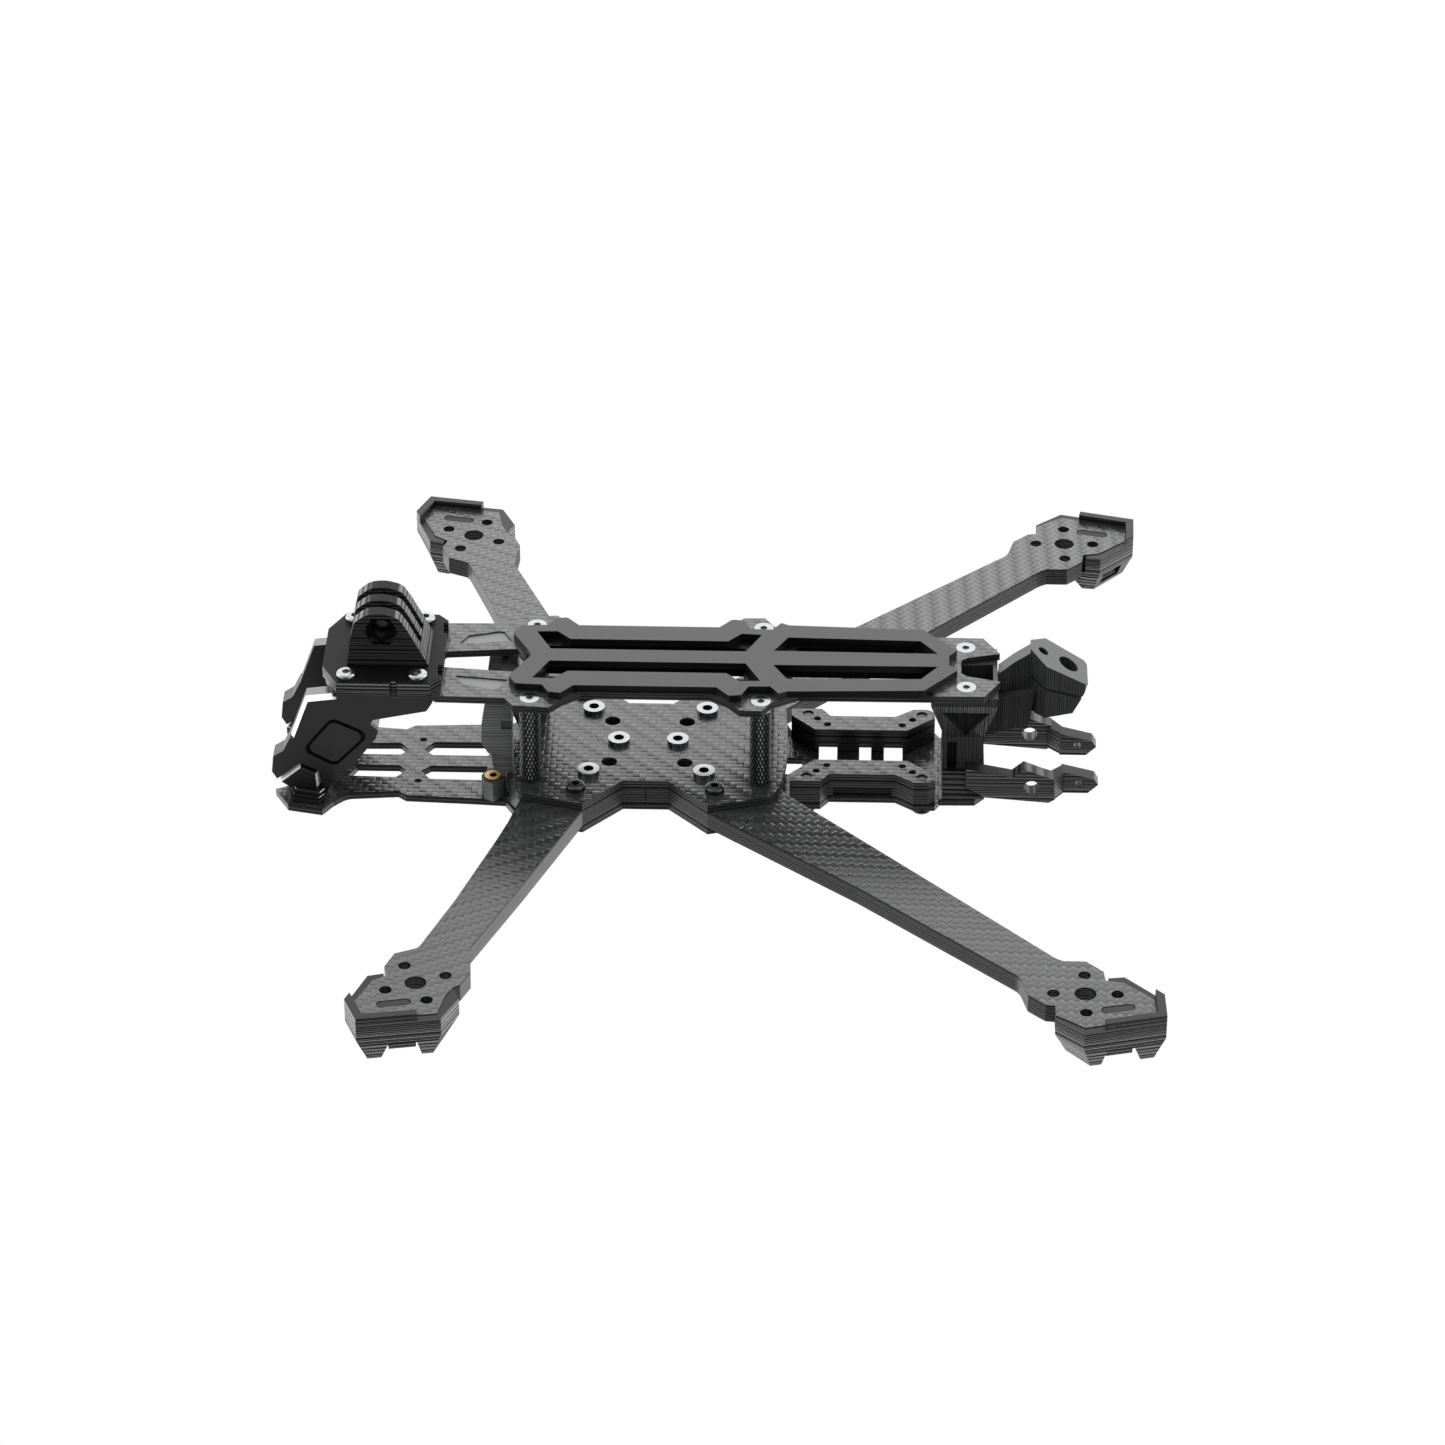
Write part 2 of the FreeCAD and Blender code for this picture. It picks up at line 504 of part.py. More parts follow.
# ---- action camera mount -----------------------------------------------------------------
def camera_mount():
    half = [(0, -85.2), (9.2, -85.2), (17.2, -81.0), (17.2, -56.3), (14.2, -53.6), (0, -53.6)]
    base_top = Z_TOP + CAMERA_BASE_T
    rim = [(NOSE_X + 0.05, -81.0), (17.2, -81.0), (17.2, -57.6), (NOSE_X + 0.05, -57.6)]
    rim = slab(rim, Z_TOP - CAMERA_SKIRT, Z_TOP)
    base = slab(both_sides(half), Z_TOP, base_top).fuse([rim, mirror_x(rim)])
    notch = slab([(15.9, -66.6), (15.9, -65.4), (18, -64.8), (18, -67.2)], Z_TOP - 1, base_top)
    tail_notch = slab([(8.0, -54.8), (13.0, -54.8), (13.0, -50), (8.0, -50)], Z_TOP, base_top)
    hump = [(-78.8, base_top), (-77.6, 36.5), (-76.6, 41.0, 2.5), (-73.5, 43.5, 5.0),
            (-69.5, 44.1, 9.0), (-64.9, 42.8, 4.0), (-62.7, 39.2, 4.0), (-57.2, base_top)]
    body = panel(hump, -FINGER_X, FINGER_X)
    gaps = [block(low, high, -90, -56, FINGER_ROOT, 50) for low, high in FINGER_GAPS]
    nut = [(FINGER_Y + NUT_TRAP_R * math.cos(math.radians(60 * k)),
            FINGER_Z + NUT_TRAP_R * math.sin(math.radians(60 * k))) for k in range(6)]
    mount = base.fuse(body)
    mount = mount.cut([notch, mirror_x(notch), tail_notch, mirror_x(tail_notch)] + gaps
                      + [panel(nut, FINGER_X - NUT_TRAP, FINGER_X),
                         bar(FINGER_Y, FINGER_Z, -FINGER_X, FINGER_X, FINGER_BORE_R)])
    places = [p for y in CAMERA_SCREW_Y for p in two(CAMERA_SCREW_X, y)]
    return cut_posts(mount, places, Z_TOP, base_top, M3_CLEAR_R)


def camera_screws():
    places = [p for y in CAMERA_SCREW_Y for p in two(CAMERA_SCREW_X, y)]
    z = Z_TOP + CAMERA_BASE_T
    screws = [pan_screw(x, y, z, CAMERA_BASE_T, 2.6, 1.5) for x, y in places]
    return [s.fuse(post(x, y, 18, Z_TOP, 1.25)) for s, (x, y) in zip(screws, places)]


# ---- front brackets ----------------------------------------------------------------------
def front_bracket():
    upper = panel([(-41.9, 22.9), (-43.2, 15.0), (-43.3, 9.6), (-41.6, 6.6), (-35.2, 5.2),
                   (-35.2, 22.9)], 11.5, 16.8)
    leg = panel([(-41.0, 6.8), (-40.4, 2.0), (-38.2, -1.3), (-37.2, -1.3), (-37.2, 0), (-35.2, 0),
                 (-35.2, 6.8)], 11.5, 16.0)
    foot = slab([(15.6, -43.6), (12.4, -42.3), (11.4, -38.9), (12.2, -37.4), (17.0, -37.6),
                 (19.6, -40.4), (18.2, -42.8)], Z_ARM, -1.3)
    rib = block(10.3, 11.5, -42.4, -35.2, 10.0, 22.9)
    relief = slab([(16.0, -38.0), (17.0, -38.0), (17.0, -34.0), (16.0, -34.0)], 14.0, 16.8)
    body = upper.fuse([leg, foot, rib]).cut(relief)
    x, y = INSERT_PLACE
    return body.cut(post(x, y, -4.8, 0, 1.9))


def brass_insert():
    x, y = INSERT_PLACE
    ring = post(x, y, -4.8, -1.0, 1.9).fuse(post(x, y, -1.3, -0.9, 2.3))
    return ring.cut(post(x, y, -4.8, 0, 1.0))


def cross_member():
    """Bar between the two front brackets, with a block in its middle."""
    beam = block(-10.3, 10.3, -39.0, -37.3, 17.6, 20.6)
    return beam.fuse(slab([(-5.5, -37.5), (5.5, -37.5), (5.5, -35.0), (4.0, -34.0), (-4.0, -34.0),
                           (-5.5, -35.0)], 17.6, 20.6))


# ---- tail --------------------------------------------------------------------------------
def tail_section(x, y0, y1):
    return [(x, y0), (x, y1), (-x, y1), (-x, y0)]


def tail_mount():
    """Printed stem under the top plate's tail, with a boom and the sloping antenna block."""
    top, neck, low = (12.4, 74.8, 92.4), (7.6, 78.6, 89.0), (9.2, 78.2, 89.0)
    cap = slab(tail_section(*top), 20.4, STANDOFF_H)
    flare = frustum(tail_section(*neck), 8.0, tail_section(*top), 20.4)
    foot = frustum(tail_section(*low), FORK_TOP, tail_section(*neck), 8.0)
    boom = panel([(87.0, 16.0), (87.0, 6.3), (100.6, 10.2), (101.3, 12.6), (102.0, 20.6),
                  (93.0, 18.4)], -4.8, 4.8)
    ridge = panel([(91.0, 16.0), (101.5, 17.0), (101.5, 31.6), (96.4, 28.0), (92.6, 24.6),
                   (92.6, 22.9)], -2.3, 2.3)
    body = cap.fuse([flare, foot, boom, ridge, antenna_block()])
    hollow = panel([(77.6, 18.0), (90.4, 18.0), (84.2, 8.4)], 6.6, 20)
    pocket = block(6.0, 20, 79.4, 82.0, FORK_TOP, 6.5)
    holes = [Part.makeCylinder(r, depth + 5, V(0, y, z) - ANTENNA_AXIS * depth, ANTENNA_AXIS)
             for y, z, r, depth in ANTENNA_HOLES]
    slot = both_sides([(0, 78.6), (3.4, 78.6), (4.6, 91.2), (0, 91.2)])
    body = body.cut([hollow, mirror_x(hollow), pocket, mirror_x(pocket),
                     slab(slot, 11.0, STANDOFF_H)] + holes)
    return cut_posts(body, two(*TAIL_SCREW), 18.6, STANDOFF_H, M3_R)


def antenna_block():
    """Block whose top slopes down to the rear, with an antenna tube and a tie hole through it."""
    side = panel([(100.7, 32.4), (116.1, 23.5), (114.4, 19.4), (112.2, 15.1), (101.1, 13.5)], -8, 8)
    plan = both_sides([(0, 100.8), (2.3, 100.8), (7.1, 104.9), (5.9, 115.2), (4.6, 116.0),
                       (0, 116.0)])
    core = both_sides([(0, 101.6), (2.0, 101.6), (6.4, 105.3), (5.2, 114.7), (4.2, 115.2),
                       (0, 115.2)])
    groove = panel([(100, 24.9), (117, 19.4), (117, 18.6), (100, 24.1)], -10, 10)
    return side.common(slab(plan, 10, 40)).cut(groove.cut(slab(core, 10, 40)))


def tail_fork():
    """Printed fork on the bottom plate, below and behind the stem."""
    foot = frustum(tail_section(14.4, 78.2, 89.3), Z_ARM, tail_section(10.6, 78.2, 89.3), FORK_TOP)
    prong = panel([(84.4, 2.6), (96.6, 0.2), (99.6, 2.9), (105.0, 0.7), (107.7, -0.2),
                   (108.0, -6.6), (106.4, -7.6), (89.4, -6.2), (84.4, -3.0)], *PRONG_X)
    neck = slab([(15.0, 107.6), (11.2, 110.4), (7.2, 110.4), (11.0, 106.4)], -6.8, -0.3)
    tip = panel([(109.8, -0.2), (118.4, -2.4), (119.5, -4.2), (116.8, -6.8), (109.8, -6.8)],
                *PRONG_TIP_X)
    side = prong.fuse([neck, tip])
    side = side.cut([bar(PRONG_BORE[0], PRONG_BORE[1], 0, 20, PRONG_BORE[2]),
                     bar(PRONG_TIP_BORE[0], PRONG_TIP_BORE[1], 0, 20, PRONG_TIP_BORE[2])])
    fork = foot.fuse([side, mirror_x(side)])
    return cut_posts(fork, two(*TAIL_SCREW), Z_ARM, -2.0, M3_R)


# ---- all pieces --------------------------------------------------------------------------
def main():
    os.makedirs("parts", exist_ok=True)
    save("bottom_plate", bottom_plate())
    save("middle_plate", middle_plate())
    save("top_plate", top_plate())
    save("top_plate_inlays", top_inlay(), mirror_x(top_inlay()))
    save("battery_pad", battery_pad())

    left_pieces = {
        "front_arm": front_left_arm(),
        "rear_arm": rear_left_arm(),
        "front_arm_guard": guard(front_tip),
        "rear_arm_guard": guard(rear_tip),
        "rear_rail": rear_rail(),
        "nose_plate": nose_plate(),
        "nose_foot": nose_foot(),
        "front_bracket": front_bracket(),
        "bracket_insert": brass_insert(),
        "front_standoff": standoff(FRONT_STANDOFF[0], -FRONT_STANDOFF[1]),
        "rear_standoff": standoff(*FRONT_STANDOFF),
    }
    for name, shape in left_pieces.items():
        save("left_" + name, shape)
        save("right_" + name, mirror_x(shape))

    save("action_camera_mount", camera_mount())
    save("camera_mount_screws", *camera_screws())
    save("front_cross_member", cross_member())
    save("tail_antenna_mount", tail_mount())
    save("tail_fork", tail_fork())

    nuts = four(STACK_BIG, STACK_BIG) + [(0, CENTRE_NUT_Y), (0, -CENTRE_NUT_Y)]
    save("stack_press_nuts", *[press_nut(x, y) for x, y in nuts])
    save("arm_clamp_screws", *[pan_screw(x, y, 0, -Z_BOTTOM) for x, y in four(*CLAMP_SCREW)])
    long_screws = [flat_screw(x, y, Z_TOP, 8.0) for x, y in four(*FRONT_STANDOFF)]
    save("top_plate_screws", *long_screws,
         *[flat_screw(x, y, Z_TOP, 6.0) for x, y in two(*TAIL_SCREW)])
    save("standoff_screws", *[under_screw(x, y, 14.0) for x, y in four(*FRONT_STANDOFF)])
    save("rail_screws", *[under_screw(x, y, 8.6) for x, y in bay_holes(STACK_BIG)])
    save("tail_screws", *[under_screw(x, y, 6.5) for x, y in two(*TAIL_SCREW)])


def press_nut(x, y):
    body = post(x, y, 0, NUT_H, NUT_R).fuse(post(x, y, Z_MID, 0, 2.0))
    return body.cut(post(x, y, Z_MID, NUT_H, NUT_BORE_R))


main()
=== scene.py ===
"""Looks of the quadcopter airframe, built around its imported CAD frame.

Metres, +Z up, nose towards -Y, +X to the side that faces the camera.
"""
import math

import bmesh
import bpy
from mathutils import Matrix, Vector


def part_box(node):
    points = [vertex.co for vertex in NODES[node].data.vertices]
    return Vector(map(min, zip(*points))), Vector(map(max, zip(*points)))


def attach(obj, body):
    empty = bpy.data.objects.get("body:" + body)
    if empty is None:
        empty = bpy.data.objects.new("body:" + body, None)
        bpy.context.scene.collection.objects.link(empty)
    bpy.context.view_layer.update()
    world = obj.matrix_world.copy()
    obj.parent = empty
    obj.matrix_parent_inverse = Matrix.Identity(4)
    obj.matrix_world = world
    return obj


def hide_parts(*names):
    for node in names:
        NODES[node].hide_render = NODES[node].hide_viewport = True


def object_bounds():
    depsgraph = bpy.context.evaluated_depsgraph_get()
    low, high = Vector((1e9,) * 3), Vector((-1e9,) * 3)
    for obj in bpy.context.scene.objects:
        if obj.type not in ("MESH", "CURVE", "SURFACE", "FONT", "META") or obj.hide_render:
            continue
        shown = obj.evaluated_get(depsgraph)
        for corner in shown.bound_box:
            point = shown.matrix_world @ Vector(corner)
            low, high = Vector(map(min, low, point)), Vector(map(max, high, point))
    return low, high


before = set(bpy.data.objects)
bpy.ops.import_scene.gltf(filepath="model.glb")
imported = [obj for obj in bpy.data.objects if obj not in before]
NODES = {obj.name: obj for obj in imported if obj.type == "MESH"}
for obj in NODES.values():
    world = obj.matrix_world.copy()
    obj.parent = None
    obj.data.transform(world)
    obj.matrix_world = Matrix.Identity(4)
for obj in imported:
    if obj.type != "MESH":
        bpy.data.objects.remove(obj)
CAD_BOX = [list(c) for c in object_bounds()]
MM = 0.001

TOW = 1.72 * MM                 # width of one carbon tow
FRONT_TURN = math.radians(16)   # direction of the tows in the front arms, from straight across
REAR_TURN = math.radians(42)    # and in the rear arms
PLY = 0.8 * MM                  # spacing of the lines seen on a plate's edge
SEAMS = (-2.1 * MM, -7.0 * MM)  # heights where the arms meet the middle and the bottom plate
LAYER = 1.15 * MM               # spacing of the lines on printed pieces
FIBRE_SLOW = 500.0              # changes of a fibre's tone per metre along it
FIBRE_FAST = 9000.0             # and across it

PAD_MIDDLE_Y = 21.5 * MM        # the battery pad: its middle, and its half sizes with a soft rim
PAD_HALF_X = (15.0 * MM, 14.0 * MM)
PAD_HALF_Y = (54.5 * MM, 53.5 * MM)
UNDER_PAD_LIGHT = 0.1           # share of its tone that the plate keeps inside that outline, as painted shade under the pad
CAMERA_BORE = (-69.5 * MM, 38.5 * MM)         # y and z of the hole through the camera mount
CAMERA_BORE_RADII = (2.65 * MM, 4.0 * MM)     # of its wall, painted black as shade, and of the seat around it, painted half dark
WEDGE_FOOT = (-6.1 * MM, -5.9 * MM)           # heights where the nose wedge's printed foot ends
HIGHLIGHT_FROM = (9.6 * MM, 10.1 * MM)             # heights from which the nose bevels carry a painted highlight
RIM_SHADE_BELOW = (10.0 * MM, 9.5 * MM)          # heights below which the nose's side rim gets painted shade
BADGE_FLOOR = (14.6 * MM, 15.9 * MM, 0.2 * MM)  # |x| of the badge groove's floor, and its rim

EASE_ANGLE = math.radians(28)   # edges sharper than this are eased
STAGE_REACH = 12.0              # half width of the floor and radius of the backdrop
SIDES = ("left_", "right_")


# ---- node trees --------------------------------------------------------------------------
class Tree:
    """Short calls for building one node tree. A value is a number or another node's output."""

    def __init__(self, owner):
        owner.use_nodes = True
        self.tree = owner.node_tree
        self.tree.nodes.clear()

    def new(self, kind, inputs=None, **settings):
        node = self.tree.nodes.new("ShaderNode" + kind)
        for key, value in settings.items():
            setattr(node, key, value)
        for key, value in (inputs or {}).items():
            self.put(node.inputs[key], value)
        return node

    def put(self, socket, value):
        if isinstance(value, bpy.types.NodeSocket):
            self.tree.links.new(value, socket)
        else:
            socket.default_value = value

    def math(self, op, a, b=0.0, c=0.0):
        node = self.new("Math", operation=op)
        for socket, value in zip(node.inputs, (a, b, c)):
            self.put(socket, value)
        return node.outputs[0]

    def step(self, value, low, high, to_low=0.0, to_high=1.0):
        """Smooth step from to_low at low to to_high at high."""
        node = self.new("MapRange", interpolation_type="SMOOTHSTEP")
        for key, v in (("Value", value), ("From Min", low), ("From Max", high),
                       ("To Min", to_low), ("To Max", to_high)):
            self.put(node.inputs[key], v)
        return node.outputs[0]

    def mix(self, factor, a, b):
        """Mix of two numbers."""
        node = self.new("Mix", data_type="FLOAT")
        for key, v in ((0, factor), (2, a), (3, b)):
            self.put(node.inputs[key], v)
        return node.outputs[0]

    def mix_colour(self, factor, a, b):
        node = self.new("Mix", data_type="RGBA")
        for key, v in ((0, factor), (6, a), (7, b)):
            self.put(node.inputs[key], v)
        return node.outputs[2]

    def place(self):
        """x, y and z of the shaded point in the row frame, in metres."""
        split = self.new("SeparateXYZ", {0: self.new("TexCoord").outputs["Object"]})
        return split.outputs[0], split.outputs[1], split.outputs[2]

    def facing(self):
        """x, y and z of the flat face's normal."""
        normal = self.new("NewGeometry").outputs["True Normal"]
        split = self.new("SeparateXYZ", {0: normal})
        return split.outputs[0], split.outputs[1], split.outputs[2]

    def vector(self, x, y):
        return self.new("CombineXYZ", {0: x, 1: y}).outputs[0]

    def noise(self, scale, vector=None, detail=2.0):
        inputs = {"Scale": scale, "Detail": detail}
        if vector is not None:
            inputs["Vector"] = vector
        return self.new("TexNoise", inputs).outputs[0]

    def noise_along(self, value, scale, detail=2.0):
        """Noise that changes along one number only."""
        inputs = {"W": value, "Scale": scale, "Detail": detail}
        return self.new("TexNoise", inputs, noise_dimensions="1D").outputs[0]

    def bump(self, height, distance):
        return self.new("Bump", {"Height": height, "Distance": distance}).outputs[0]

    def principled(self, **inputs):
        named = {key.replace("_", " "): value for key, value in inputs.items()}
        shader = self.new("BsdfPrincipled", named)
        self.tree.links.new(shader.outputs[0], self.new("OutputMaterial").inputs[0])


def grey(value, tint=0.0):
    return (value * (1 - tint), value, value * (1 + tint), 1.0)


# ---- materials ---------------------------------------------------------------------------
def twill(t, x, y):
    """Two over two twill: its height, how near the end of a float, and which tows are on top."""
    u, v = t.math("DIVIDE", x, TOW), t.math("DIVIDE", y, TOW)
    fu, fv = t.math("FLOOR", u), t.math("FLOOR", v)
    over = t.math("LESS_THAN", t.math("FLOORED_MODULO", t.math("SUBTRACT", fu, fv), 4.0), 2.0)

    def hump(place, sharp):
        """One in the middle of a span from -1 to 1, falling to zero at its ends."""
        return t.math("SUBTRACT", 1.0, t.math("POWER", t.math("ABSOLUTE", place), sharp))

    warp = t.math("FLOORED_MODULO", t.math("ADD", t.math("SUBTRACT", v, fu), 1.0), 4.0)
    weft = t.math("FLOORED_MODULO", t.math("SUBTRACT", t.math("SUBTRACT", u, fv), 2.0), 4.0)
    float_place = t.math("SUBTRACT", t.mix(over, weft, warp), 1.0)
    side_place = t.math("MULTIPLY_ADD", t.math("FRACT", t.mix(over, v, u)), 2.0, -1.0)
    rise = hump(float_place, 5.0)
    height = t.math("MULTIPLY_ADD", rise, 0.8, t.math("MULTIPLY", hump(side_place, 4.0), 0.2))
    return height, rise, over


def layer_lines(t, along, spacing):
    """Dark, uneven lines across one direction, about one to each spacing."""
    wander = t.noise_along(along, 0.55 / spacing)
    phase = t.math("DIVIDE", t.math("MULTIPLY_ADD", wander, 0.8 * spacing, along), spacing)
    middle = t.math("ABSOLUTE", t.math("SUBTRACT", t.math("FRACT", phase), 0.5))
    return t.step(middle, 0.24, 0.42)


def along_arms(t, x, y):
    """Position along and across the arm of each quarter, for a weave that follows the arms."""
    rear = t.math("GREATER_THAN", y, 0.0)
    c = t.mix(rear, math.cos(FRONT_TURN), math.cos(REAR_TURN))
    s = t.mix(rear, math.sin(FRONT_TURN), math.sin(REAR_TURN))
    ax, ay = t.math("ABSOLUTE", x), t.math("ABSOLUTE", y)
    along = t.math("ADD", t.math("MULTIPLY", ax, c), t.math("MULTIPLY", ay, s))
    across = t.math("SUBTRACT", t.math("MULTIPLY", ay, c), t.math("MULTIPLY", ax, s))
    hand = t.math("MAXIMUM", t.math("SIGN", x), t.math("MULTIPLY", t.math("SIGN", y), -1.0))
    return along, t.math("MULTIPLY", across, hand)


def carbon(name, tone, relief, arms=False, under_pad=False):
    """Woven laminate: twill on the flat faces, the plies as thin lines on the edges.

    With under_pad the part that shows only at the bottom of the pad's slots is painted nearly
    black, as painted shade.
    """
    material = bpy.data.materials.new(name)
    t = Tree(material)
    x, y, z = t.place()
    wx, wy = along_arms(t, x, y) if arms else (x, y)
    height, rise, over = twill(t, wx, wy)

    # fibres run along each tow
    slow_x, slow_y = (t.math("MULTIPLY", v, FIBRE_SLOW) for v in (wx, wy))
    fast_x, fast_y = (t.math("MULTIPLY", v, FIBRE_FAST) for v in (wx, wy))
    fibre = t.mix(over, t.noise(1.0, t.vector(slow_x, fast_y)),
                  t.noise(1.0, t.vector(fast_x, slow_y)))
    # painted shade: where a float ends and its tow dives under the next, the colour is painted
    # darker and the gloss lower
    gap_shade = t.step(rise, 0.0, 0.55)
    # painted sheen: the tows that run one way are painted lighter than those that run the other
    # way, standing in for light catching them differently
    weave = t.math("MULTIPLY", t.mix(over, 0.85, 1.15), t.mix(fibre, 0.8, 1.2))
    weave = t.math("MULTIPLY", weave, t.mix(gap_shade, 0.1, 1.0))

    # painted shade: a dark line at the heights where one plate lies on another, standing in for
    # the shade in the narrow space between them
    seams = [t.math("ABSOLUTE", t.math("SUBTRACT", z, seam)) for seam in SEAMS]
    seam = t.step(t.math("MINIMUM", *seams), 0.42 * MM, 0.2 * MM)
    line = t.math("MAXIMUM", layer_lines(t, z, PLY), seam)
    edge = t.mix(line, t.mix(t.noise_along(z, 2600.0), 0.6, 1.8), 0.05)

    flat = t.step(t.math("ABSOLUTE", t.facing()[2]), 0.6, 0.75)
    level = t.mix(flat, edge, weave)
    gloss = t.mix(flat, t.mix(line, 0.42, 0.06), t.mix(gap_shade, 0.3, t.mix(over, 0.49, 0.53)))
    if under_pad:
        # painted shade: inside the pad's outline the plate keeps only a small share of its tone
        # and gloss
        under_pad_shadow = t.math("MULTIPLY", t.step(t.math("ABSOLUTE", x), *PAD_HALF_X),
                     t.step(t.math("ABSOLUTE", t.math("SUBTRACT", y, PAD_MIDDLE_Y)), *PAD_HALF_Y))
        lit = t.mix(under_pad_shadow, 1.0, UNDER_PAD_LIGHT)
        level, gloss = t.math("MULTIPLY", level, lit), t.math("MULTIPLY", gloss, lit)
    colour = t.mix_colour(t.math("MULTIPLY", level, 0.5), grey(0.0), grey(tone * 2, 0.03))

    relief_height = t.mix(flat, t.math("MULTIPLY", line, -0.5),
                          t.math("MULTIPLY_ADD", fibre, 0.1, height))
    t.principled(Base_Color=colour, Normal=t.bump(relief_height, relief),
                 Roughness=t.mix(flat, 0.4, t.mix(over, 0.2, 0.24)), Specular_IOR_Level=gloss)
    return material


def printed(name, tone, spacing, axis="z", gloss=0.7, level_layers=0.2, bored=False,
            between=0.32):
    """Printed plastic: layers across one axis, with uneven light and dark lines.

    level_layers is the tone of faces that lie along the layers, and between is the roughness of
    a layer between its lines. With bored the camera mount's cross hole is painted black and the
    seat around it painted half dark, as painted shade.
    """
    material = bpy.data.materials.new(name)
    t = Tree(material)
    x, y, z = t.place()
    along = dict(zip("xyz", (x, y, z)))[axis]
    along = t.math("MULTIPLY_ADD", t.noise(45.0, detail=1.0), 0.06 * MM, along)
    lines = layer_lines(t, along, spacing)
    fine = t.noise_along(along, 3.0 / spacing, detail=0.0)
    layers = t.math("MULTIPLY", t.mix(lines, 1.0, 0.12), t.mix(fine, 0.4, 1.3))
    upright = (0.9, 0.97) if axis == "z" else (0.4, 0.55)
    layers = t.mix(t.step(t.math("ABSOLUTE", t.facing()[2]), *upright), layers, level_layers)
    scuff = t.noise(900.0, detail=3.0)
    level = t.math("MULTIPLY", t.mix(layers, 0.15, 2.2), t.mix(scuff, 0.85, 1.15))
    if bored:
        # painted shade: black on the hole's wall, and a darker ring on the seat around it
        dy, dz = (t.math("SUBTRACT", v, c) for v, c in zip((y, z), CAMERA_BORE))
        far = t.math("SQRT", t.math("MULTIPLY_ADD", dy, dy, t.math("MULTIPLY", dz, dz)))
        wall, seat = CAMERA_BORE_RADII
        lit = t.math("MULTIPLY", t.step(far, wall, wall + 0.1 * MM),
                     t.step(far, seat, seat + 0.1 * MM, 0.35, 1.0))
        layers, level = t.math("MULTIPLY", layers, lit), t.math("MULTIPLY", level, lit)
        gloss = t.math("MULTIPLY", gloss, lit)
    colour = t.mix_colour(t.math("MULTIPLY", level, 0.5), grey(0.0), grey(tone * 2, 0.03))
    normal = t.bump(t.math("MULTIPLY_ADD", scuff, 0.04, layers), 0.16 * MM)
    t.principled(Base_Color=colour, Normal=normal, Specular_IOR_Level=t.mix(layers, 0.05, gloss),
                 Roughness=t.mix(layers, 0.48, between))
    return material


def plain(name, tone, rough, grain, grain_size, metal=0.0, colour=None, gloss=0.5):
    """Smooth material with a fine grain and a slow change of tone."""
    material = bpy.data.materials.new(name)
    t = Tree(material)
    cloud = t.noise(70.0, detail=3.0)
    speck = t.noise(1 / grain_size, detail=2.0)
    level = t.math("MULTIPLY", t.mix(cloud, 0.9, 1.1), t.mix(speck, 0.94, 1.06))
    base = colour or grey(tone, 0.02)
    dark = tuple(0.8 * b for b in base[:3]) + (1.0,)
    light = tuple(min(1.0, 1.2 * b) for b in base[:3]) + (1.0,)
    shade = t.mix_colour(t.step(level, 0.85, 1.15), dark, light)
    t.principled(Base_Color=shade, Metallic=metal, Normal=t.bump(speck, grain),
                 Roughness=t.mix(cloud, rough * 0.9, rough * 1.1), Specular_IOR_Level=gloss)
    return material


def painted_highlight_edges(name, tone, highlight_tone, wedge=False):
    """Dark metal whose front chamfers carry a painted highlight, a light grey that is not
    metallic.

    On the wedge between the plate and its foot the top chamfer gets no painted highlight and stays
    dark, and so does the printed foot. On the plate the groove round the badge is black. Below a
    set height the faces that do not face sideways get painted shade.
    """
    material = bpy.data.materials.new(name)
    t = Tree(material)
    x, y, z = t.place()
    nx, ny, nz = t.facing()
    outward = t.math("ABSOLUTE", nx)
    # painted highlight: the chamfers get a light grey that is not metallic, standing in for the
    # bright reflection they catch
    cut = t.math("MULTIPLY", t.step(outward, 0.15, 0.3), t.step(outward, 0.98, 0.93))
    if wedge:
        top = t.math("MULTIPLY", t.step(ny, 0.05, 0.15), t.step(nz, 0.4, 0.5))
        cut = t.math("MULTIPLY", cut, t.math("SUBTRACT", 1.0, top))
        metal = t.step(z, *WEDGE_FOOT)
    else:
        cut = t.math("MULTIPLY", cut, t.step(nz, 0.1, 0.2))
        cut = t.math("MULTIPLY", cut, t.step(z, *HIGHLIGHT_FROM))
        depth = t.math("ABSOLUTE", x)
        inner, outer, rim_width = BADGE_FLOOR
        groove = t.math("MULTIPLY", t.step(depth, outer, outer - rim_width),
                        t.step(depth, inner, inner + rim_width))
        metal = t.math("SUBTRACT", 1.0, t.math("MULTIPLY", groove, t.step(cut, 0.5, 0.4)))
    cut = t.math("MULTIPLY", cut, metal)
    cloud = t.noise(70.0, detail=3.0)
    # painted shade: below those heights the faces that do not face sideways are painted at a
    # quarter of the tone
    shaded = t.math("MULTIPLY", t.step(z, *RIM_SHADE_BELOW), t.step(outward, 0.5, 0.3))
    dark = t.mix_colour(shaded, grey(tone), grey(0.25 * tone))
    shade = t.mix_colour(cut, t.mix_colour(metal, grey(0.004), dark), grey(highlight_tone))
    t.principled(Base_Color=shade, Metallic=t.math("MULTIPLY", metal, t.mix(cut, 1.0, 0.0)),
                 Roughness=t.mix(cloud, 0.26, 0.34), Specular_IOR_Level=0.25)
    return material


def knurled(name, groove, ridge):
    """Dark metal that is bright along the ridges of its knurl."""
    material = bpy.data.materials.new(name)
    t = Tree(material)
    point = t.new("NewGeometry").outputs["Pointiness"]
    shade = t.mix_colour(t.step(point, 0.46, 0.56), grey(groove), grey(ridge, 0.02))
    t.principled(Base_Color=shade, Metallic=1.0, Roughness=0.3)
    return material


